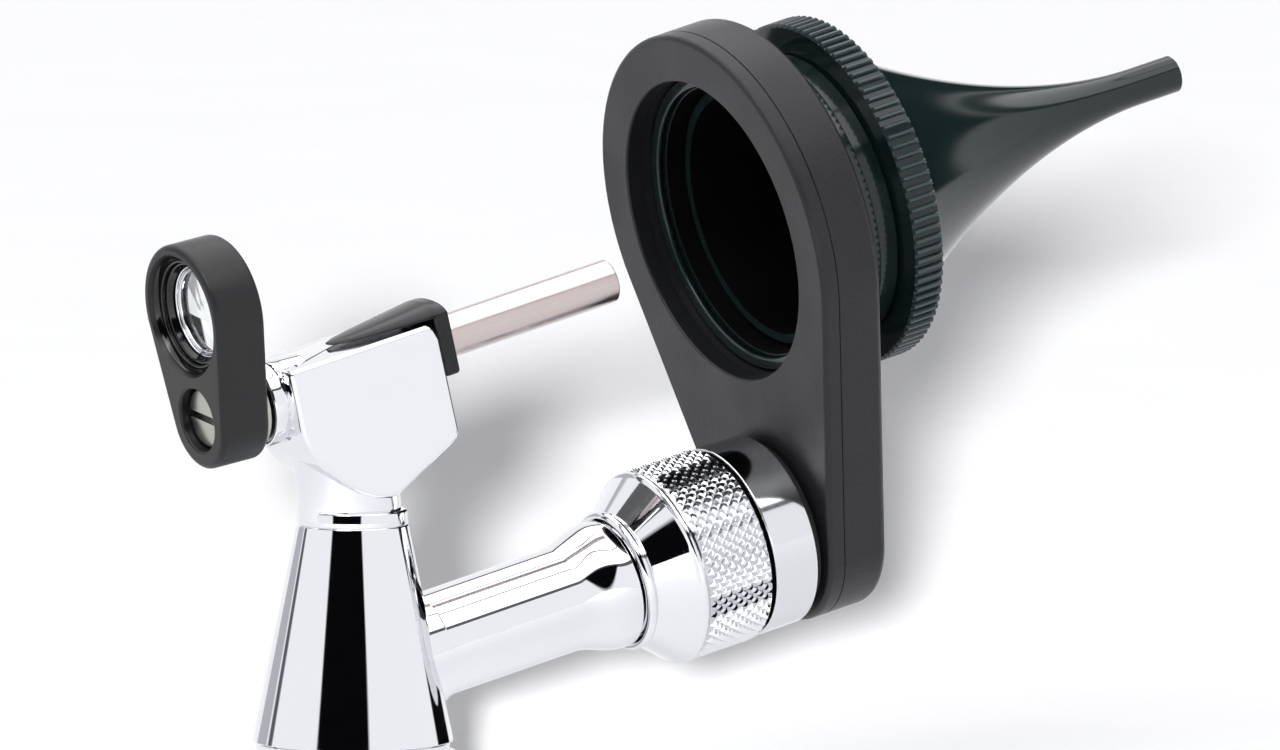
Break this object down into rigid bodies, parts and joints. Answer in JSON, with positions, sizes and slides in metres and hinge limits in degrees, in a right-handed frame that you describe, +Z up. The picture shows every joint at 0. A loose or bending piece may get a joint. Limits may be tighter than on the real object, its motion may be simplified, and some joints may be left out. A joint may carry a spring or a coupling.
{
  "type": "operating otoscope head",
  "caption": "Open metal otoscope head with a swivelling magnifying lens, a light tube and a clamped bracket that carries a conical ear speculum.",
  "frame": {"origin": "on the handle axis at the bottom rim of the handle coupling", "axes": "+Z up the handle axis, +X the way the speculum points, the sight axis lies in the plane Y = 0 and rises 13.7 degrees"},
  "size_m": [0.1248, 0.0434, 0.0846],
  "materials": {
    "chrome": "polished chrome plate",
    "nickel": "bright nickel plate",
    "steel": "machined",
    "brass": "machined",
    "black_nylon": "fine-textured moulded nylon",
    "black_plastic": "satin moulded",
    "speculum_plastic": "glossy moulded, very dark green",
    "insulator": "moulded phenolic",
    "rubber": "matt",
    "glass": "clear polished"
  },
  "bodies": {
    "head": {"head_body": "chrome", "bayonet_socket": "steel", "contact_insulator": "insulator", "contact_spring": "steel", "contact_rod": "brass", "rod_sleeve": "insulator", "lamp_can": "nickel", "lamp_bulb": "glass", "light_tube": "nickel", "tube_lens": "glass", "lamp_clip": "black_plastic", "pivot_screw": "steel", "pivot_washer": "steel", "arm": "chrome", "clamp_flange": "steel", "friction_washer": "insulator"},
    "contact": {"contact_pin": "brass"},
    "lens_arm": {"lens_holder": "black_nylon", "lens": "glass", "lens_ring": "chrome", "pivot_bush": "brass"},
    "nut": {"knurled_nut": "chrome"},
    "bracket": {"swivel_collar": "chrome", "collar_washer": "rubber", "bracket_plate": "black_nylon", "bracket_body": "black_nylon", "bracket_screw": "steel", "dowel_left": "steel", "dowel_right": "steel", "seat_clip": "speculum_plastic"},
    "lock_ring": {"locking_ring": "speculum_plastic", "seat_seal": "rubber"},
    "speculum": {"speculum": "speculum_plastic"}
  },
  "joints": [
    {"name": "contact_travel", "type": "slide", "parent": "head", "child": "contact", "axis": [0, 0, 1], "range_m": [0, 0.0015], "stiffness_N_per_m": 400, "springref_m": -0.002, "deforming": ["contact_spring"]},
    {"name": "lens_swivel", "type": "hinge", "parent": "head", "child": "lens_arm", "pos_m": [-0.019, 0, 0.0451], "axis": [0.9848, 0, 0.1736], "range_deg": [-100, 100]},
    {"name": "nut_turn", "type": "hinge", "parent": "head", "child": "nut", "pos_m": [0.05222, 0, 0.02994], "axis": [0.9715, 0, 0.2368], "range_deg": [-180, 0]},
    {"name": "bracket_swivel", "type": "hinge", "parent": "head", "child": "bracket", "pos_m": [0.05222, 0, 0.02994], "axis": [0.9715, 0, 0.2368], "range_deg": [-90, 90]},
    {"name": "ring_turn", "type": "hinge", "parent": "bracket", "child": "lock_ring", "pos_m": [0.0444, 0, 0.062], "axis": [0.9715, 0, 0.2368], "range_deg": [0, 40]},
    {"name": "speculum_slide", "type": "slide", "parent": "lock_ring", "child": "speculum", "axis": [0.9715, 0, 0.2368], "range_m": [0, 0.015]}
  ]
}
